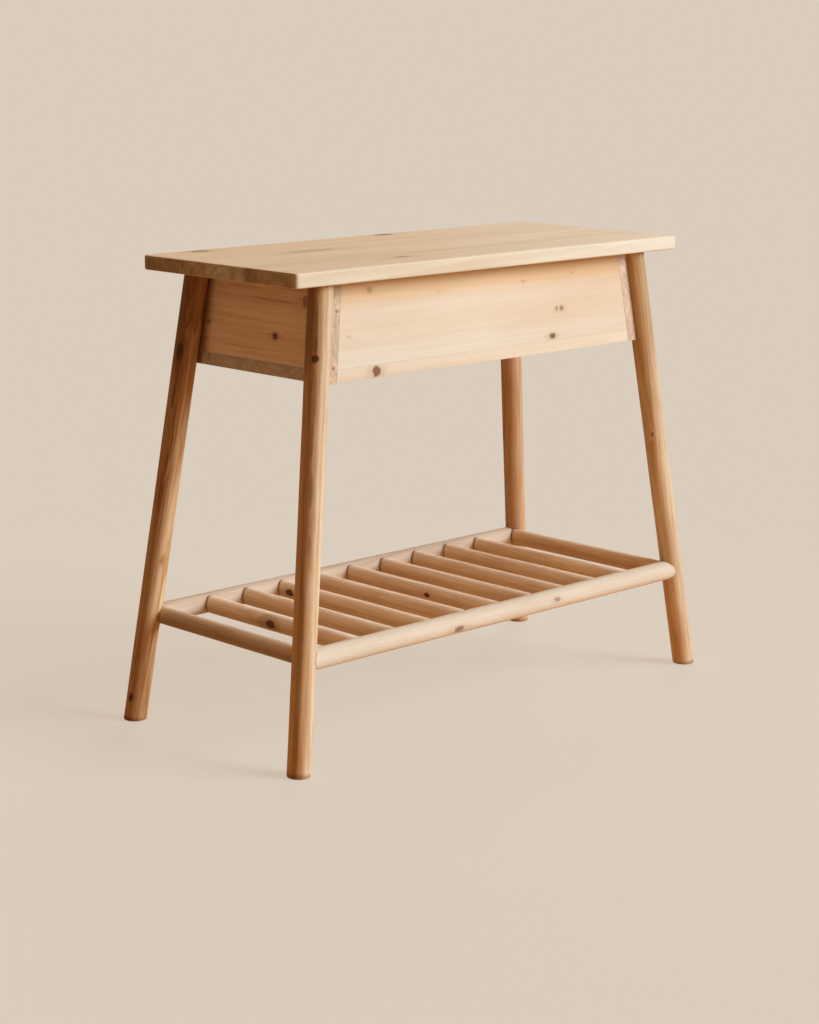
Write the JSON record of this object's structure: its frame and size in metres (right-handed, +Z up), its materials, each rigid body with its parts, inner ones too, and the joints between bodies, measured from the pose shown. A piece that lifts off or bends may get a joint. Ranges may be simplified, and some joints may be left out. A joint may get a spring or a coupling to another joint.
{
  "type": "bench",
  "caption": "Pine entry bench: hinged board lid over a shallow storage box on splayed round legs, with a slatted shoe shelf of round bars near the floor.",
  "frame": {"origin": "on the floor, under the middle of the bench", "axes": "+X along the bench to its right as one faces its front, +Y to its back, +Z up"},
  "size_m": [0.7838, 0.364, 0.625],
  "materials": {
    "pine_top": "clear satin finish on edge-glued pine",
    "pine_panel": "clear satin finish on pale pine",
    "pine_round": "clear satin finish on round pine bars",
    "beech_dowel": "bare beech",
    "zinc_plated_steel": "zinc plated"
  },
  "bodies": {
    "bench_frame": {"front_panel": "pine_panel", "back_panel": "pine_panel", "left_end_panel": "pine_panel", "right_end_panel": "pine_panel", "bottom_board": "pine_panel", "hinge_rail": "pine_panel", "leg_front_left": "pine_round", "leg_front_right": "pine_round", "leg_rear_left": "pine_round", "leg_rear_right": "pine_round", "shelf_front_rail": "pine_round", "shelf_rear_rail": "pine_round", "shelf_end_bar_left": "pine_round", "shelf_end_bar_right": "pine_round", "shelf_slat_1": "pine_round", "shelf_slat_2": "pine_round", "shelf_slat_3": "pine_round", "shelf_slat_4": "pine_round", "shelf_slat_5": "pine_round", "shelf_slat_6": "pine_round", "shelf_slat_7": "pine_round", "shelf_slat_8": "pine_round", "shelf_slat_9": "pine_round", "leg_dowel_front_left_upper": "beech_dowel", "leg_dowel_front_left_lower": "beech_dowel", "leg_dowel_front_right_upper": "beech_dowel", "leg_dowel_front_right_lower": "beech_dowel", "leg_dowel_rear_left_upper": "beech_dowel", "leg_dowel_rear_left_lower": "beech_dowel", "leg_dowel_rear_right_upper": "beech_dowel", "leg_dowel_rear_right_lower": "beech_dowel", "hinge_left_box_leaf": "zinc_plated_steel", "hinge_right_box_leaf": "zinc_plated_steel", "hinge_left_box_screw_1": "zinc_plated_steel", "hinge_left_box_screw_2": "zinc_plated_steel", "hinge_right_box_screw_1": "zinc_plated_steel", "hinge_right_box_screw_2": "zinc_plated_steel", "hinge_rail_screw_left": "zinc_plated_steel", "hinge_rail_screw_middle": "zinc_plated_steel", "hinge_rail_screw_right": "zinc_plated_steel", "hinge_left_pin": "zinc_plated_steel", "hinge_right_pin": "zinc_plated_steel"},
    "lid": {"lid_top": "pine_top", "hinge_left_lid_leaf": "zinc_plated_steel", "hinge_left_lid_screw_1": "zinc_plated_steel", "hinge_left_lid_screw_2": "zinc_plated_steel", "hinge_right_lid_leaf": "zinc_plated_steel", "hinge_right_lid_screw_1": "zinc_plated_steel", "hinge_right_lid_screw_2": "zinc_plated_steel"}
  },
  "joints": [
    {"name": "lid_hinge", "type": "hinge", "parent": "bench_frame", "child": "lid", "pos_m": [0, 0.14156, 0.6027], "axis": [-1, 0, 0], "range_deg": [0, 110]}
  ]
}
